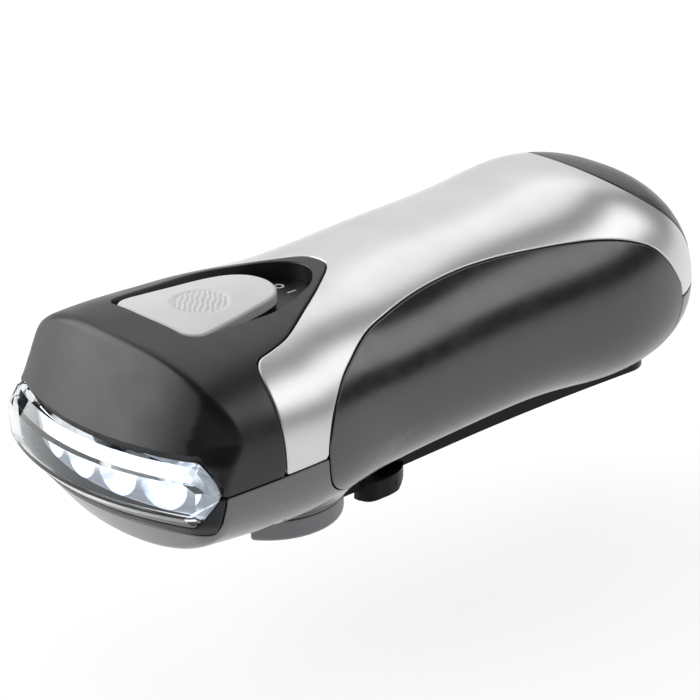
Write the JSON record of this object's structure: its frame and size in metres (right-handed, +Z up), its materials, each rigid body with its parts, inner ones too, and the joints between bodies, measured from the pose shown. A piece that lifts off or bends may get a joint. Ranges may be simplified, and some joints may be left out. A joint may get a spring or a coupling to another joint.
{
  "type": "hand crank flashlight",
  "caption": "Palm-sized hand crank LED flashlight: rounded waisted body, wide bevelled lens, thumb slider on top, folding crank with knob on a hub underneath.",
  "frame": {"origin": "centre of the footprint, on the plane that the crank hub, its yoke and the knob's pin head stand on", "axes": "X across the width, Y from the lens (minus) to the tail (plus), Z up through the crank hub to the thumb slider"},
  "size_m": [0.0566, 0.1412, 0.0482],
  "materials": {
    "cover_black": "fine matte charcoal texture",
    "shell_silver": "satin silver lacquer",
    "shell_grey": "gloss dark grey",
    "grip_black": "smooth semi-gloss grip",
    "inlay_grey": "gloss warm grey",
    "lens_clear": "clear polished acrylic",
    "reflector_chrome": "bright vacuum-metallised plastic",
    "lamp_clear": "water-clear epoxy",
    "cap_grey": "light grey satin",
    "arm_black": "black satin",
    "hub_grey": "mid grey satin",
    "inner_black": "moulded black",
    "gear_white": "natural acetal",
    "board_green": "solder-masked circuit board",
    "steel": "plated steel",
    "brass": "turned brass",
    "magnet_grey": "ferrite",
    "copper": "enamelled copper winding",
    "lead_red": "red insulation",
    "lead_black": "black insulation"
  },
  "bodies": {
    "casing": {"battery_cell_1": "steel", "battery_cell_2": "steel", "battery_cell_3": "steel", "battery_holder": "inner_black", "battery_lead": "lead_red", "bottom_shell": "shell_grey", "case_screw_front_left": "steel", "case_screw_front_right": "steel", "case_screw_rear_left": "steel", "case_screw_rear_right": "steel", "circuit_board": "board_green", "circuit_screw_left": "steel", "circuit_screw_right": "steel", "crank_bush": "gear_white", "gearbox_cover": "inner_black", "gearbox_frame": "inner_black", "gearbox_screw_1": "steel", "gearbox_screw_2": "steel", "gearbox_screw_3": "steel", "generator_lead": "lead_black", "head_cover": "cover_black", "idler_pin_1": "steel", "idler_pin_2": "steel", "lamp_1": "lamp_clear", "lamp_2": "lamp_clear", "lamp_3": "lamp_clear", "lamp_4": "lamp_clear", "lamp_board": "board_green", "lamp_lead": "lead_black", "lens": "lens_clear", "reflector": "reflector_chrome", "side_grip_left": "grip_black", "side_grip_right": "grip_black", "slide_switch_body": "steel", "stator_coil": "copper", "stator_cup_lower": "steel", "stator_cup_upper": "steel", "tail_inlay": "inlay_grey", "top_shell": "shell_silver"},
    "crank": {"crank_shaft": "steel", "crank_yoke": "arm_black", "hub_cap": "hub_grey", "hub_screw": "steel", "shaft_clip": "steel", "drive_gear": "gear_white", "hinge_pin": "steel"},
    "arm": {"crank_arm": "arm_black", "knob_axle": "steel"},
    "knob": {"crank_knob": "arm_black"},
    "idler_1": {"idler_gear_1": "gear_white"},
    "idler_2": {"idler_gear_2": "gear_white"},
    "rotor": {"rotor_shaft": "steel", "rotor_pinion": "brass", "rotor_magnet": "magnet_grey"},
    "switch": {"switch_slider": "arm_black", "switch_cap": "cap_grey", "slide_switch_nub": "inner_black"}
  },
  "joints": [
    {"name": "crank_turn", "type": "hinge", "parent": "casing", "child": "crank", "pos_m": [0, -0.02675, 0.01], "axis": [0, 0, 1], "continuous": true},
    {"name": "crank_fold", "type": "hinge", "parent": "crank", "child": "arm", "pos_m": [0, -0.00645, 0.0018], "axis": [-1, 0, 0], "range_deg": [0, 180]},
    {"name": "knob_spin", "type": "hinge", "parent": "arm", "child": "knob", "pos_m": [0, 0.05955, 0.009], "axis": [0, 0, 1], "continuous": true},
    {"name": "idler_1_turn", "type": "hinge", "parent": "casing", "child": "idler_1", "pos_m": [-0.008, -0.01063, 0.016], "axis": [0, 0, 1], "continuous": true},
    {"name": "idler_2_turn", "type": "hinge", "parent": "casing", "child": "idler_2", "pos_m": [0.005, -0.00443, 0.02], "axis": [0, 0, 1], "continuous": true},
    {"name": "rotor_turn", "type": "hinge", "parent": "casing", "child": "rotor", "pos_m": [0.001, 0.00688, 0.026], "axis": [0, 0, 1], "continuous": true},
    {"name": "switch_slide", "type": "slide", "parent": "casing", "child": "switch", "axis": [0, 1, 0], "range_m": [0, 0.006]}
  ],
  "couplings": [
    {"joint": "idler_1_turn", "follows": "crank_turn", "ratio": -4},
    {"joint": "idler_2_turn", "follows": "crank_turn", "ratio": 12},
    {"joint": "rotor_turn", "follows": "crank_turn", "ratio": -36}
  ]
}
